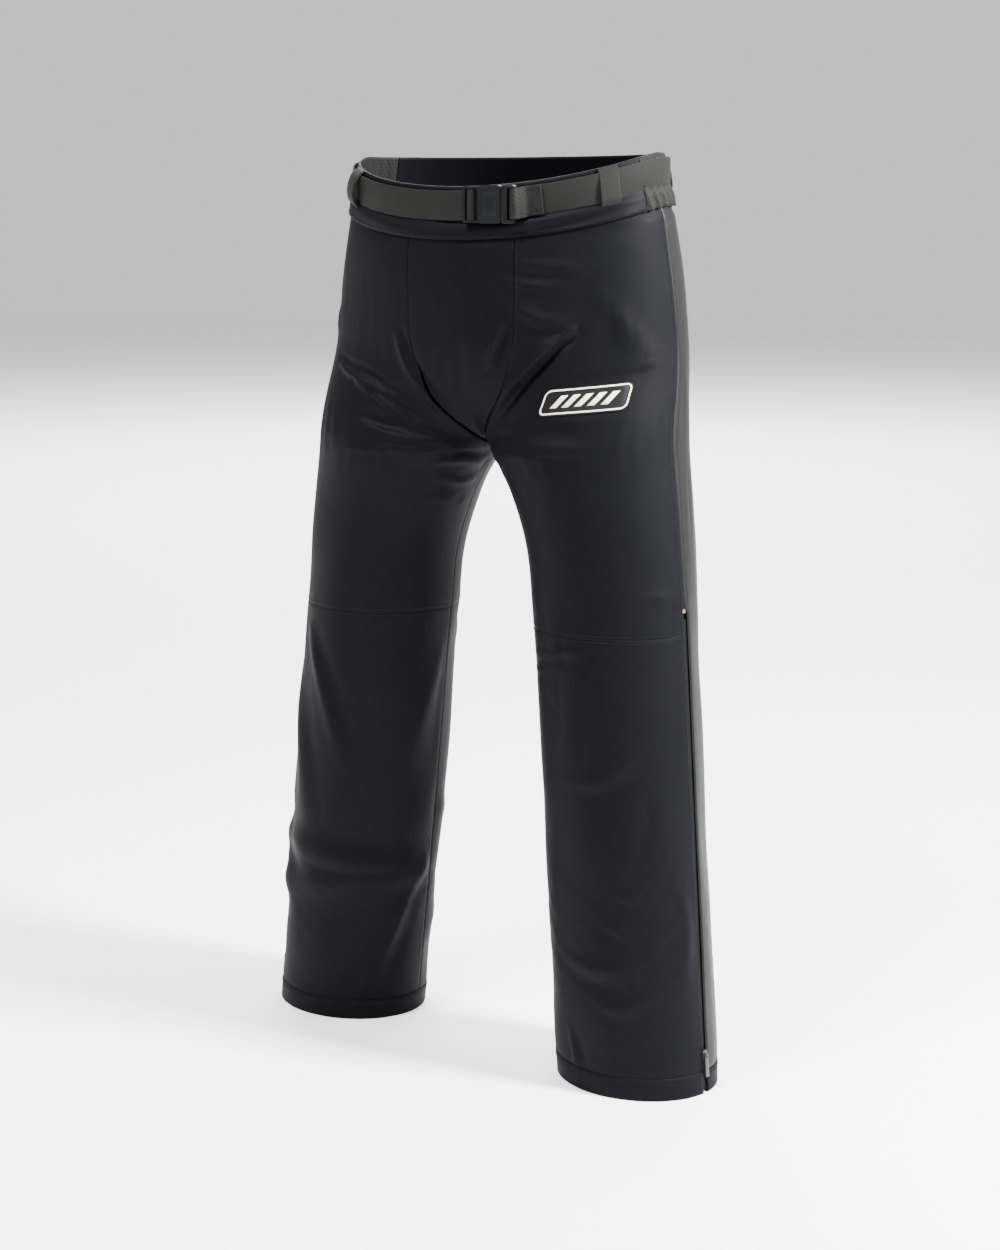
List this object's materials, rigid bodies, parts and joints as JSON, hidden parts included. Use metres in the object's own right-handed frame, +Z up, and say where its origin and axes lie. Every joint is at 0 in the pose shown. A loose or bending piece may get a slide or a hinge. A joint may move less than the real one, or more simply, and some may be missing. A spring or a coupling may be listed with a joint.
{
  "type": "hockey pants",
  "caption": "Long black hockey pants with a webbing belt and side-release buckle, belt loops, side stripes, full-length leg zips to the knee, and inner pads.",
  "frame": {"origin": "middle of the bottom of the whole object's box, on the plane both hems stand on", "axes": "+Z up from hems to waist, -Y the wearer's front, +X the wearer's left"},
  "size_m": [0.611, 0.294, 1.037],
  "materials": {
    "stretch_cloth": "smooth black stretch knit with a faint satin sheen",
    "side_cloth": "black stretch knit, slightly shinier than the leg cloth",
    "gathered_elastic": "dark grey ribbed elastic, gathered",
    "webbing": "charcoal flat woven webbing",
    "loop_cloth": "charcoal woven tape",
    "buckle_plastic": "black moulded acetal, lightly glossy",
    "zip_nylon": "black nylon coil",
    "zip_tape": "black woven zip tape",
    "zip_brass": "small bright brass stop",
    "zip_metal": "black enamelled die-cast metal",
    "pad_fabric": "quilted black lining over foam",
    "badge": "raised cream print on a black patch"
  },
  "bodies": {
    "root": {"centre_front_panel": "stretch_cloth", "thigh_panel_left": "stretch_cloth", "shin_panel_left": "stretch_cloth", "side_panel_left": "side_cloth", "seat_panel_left": "stretch_cloth", "calf_panel_left": "stretch_cloth", "hem_left": "stretch_cloth", "thigh_panel_right": "stretch_cloth", "shin_panel_right": "stretch_cloth", "side_panel_right": "side_cloth", "seat_panel_right": "stretch_cloth", "calf_panel_right": "stretch_cloth", "hem_right": "stretch_cloth", "waistband_front": "stretch_cloth", "waistband_back": "stretch_cloth", "side_elastic_left": "gathered_elastic", "side_elastic_right": "gathered_elastic", "belt_webbing": "webbing", "belt_loop_front_left": "loop_cloth", "belt_loop_front_right": "loop_cloth", "belt_loop_back_left": "loop_cloth", "belt_loop_back_right": "loop_cloth", "belt_loop_back_centre": "loop_cloth", "buckle_socket": "buckle_plastic", "zip_coil_left": "zip_nylon", "zip_tape_left": "zip_tape", "zip_end_stop_left": "zip_brass", "hip_pad_left": "pad_fabric", "thigh_pad_left": "pad_fabric", "zip_coil_right": "zip_nylon", "zip_tape_right": "zip_tape", "zip_end_stop_right": "zip_brass", "hip_pad_right": "pad_fabric", "thigh_pad_right": "pad_fabric", "tailbone_pad": "pad_fabric", "thigh_badge": "badge"},
    "belt_plug": {"buckle_plug": "buckle_plastic", "belt_sewn_end": "webbing"},
    "prong_upper": {"buckle_prong_upper": "buckle_plastic"},
    "prong_lower": {"buckle_prong_lower": "buckle_plastic"},
    "slider_left": {"zip_slider_left": "zip_metal"},
    "slider_right": {"zip_slider_right": "zip_metal"},
    "pull_left": {"zip_pull_left": "zip_metal"},
    "pull_right": {"zip_pull_right": "zip_metal"}
  },
  "joints": [
    {"name": "buckle_plug_slide", "type": "slide", "parent": "root", "child": "belt_plug", "axis": [0.9923, 0.1237, 0], "range_m": [0, 0.026]},
    {"name": "prong_upper_squeeze", "type": "hinge", "parent": "belt_plug", "child": "prong_upper", "pos_m": [0.05624, -0.11004, 0.99516], "axis": [0.1237, -0.9923, 0], "range_deg": [0, 7], "stiffness_Nm_per_rad": 1.5},
    {"name": "prong_lower_squeeze", "type": "hinge", "parent": "belt_plug", "child": "prong_lower", "pos_m": [0.05624, -0.11004, 0.96526], "axis": [-0.1237, 0.9923, 0], "range_deg": [0, 7], "stiffness_Nm_per_rad": 1.5},
    {"name": "zip_left_slide", "type": "slide", "parent": "root", "child": "slider_left", "axis": [-0.0932, 0.0654, 0.9935], "range_m": [0, 0.48]},
    {"name": "zip_right_slide", "type": "slide", "parent": "root", "child": "slider_right", "axis": [0.0934, 0.0051, 0.9956], "range_m": [0, 0.48]},
    {"name": "pull_left_swing", "type": "hinge", "parent": "slider_left", "child": "pull_left", "pos_m": [0.30173, -0.07999, 0.04399], "axis": [-0.2212, -0.9743, 0.0434], "range_deg": [0, 165]},
    {"name": "pull_right_swing", "type": "hinge", "parent": "slider_right", "child": "pull_right", "pos_m": [-0.30174, -0.02864, 0.04405], "axis": [-0.2155, 0.9764, 0.0152], "range_deg": [0, 165]}
  ]
}
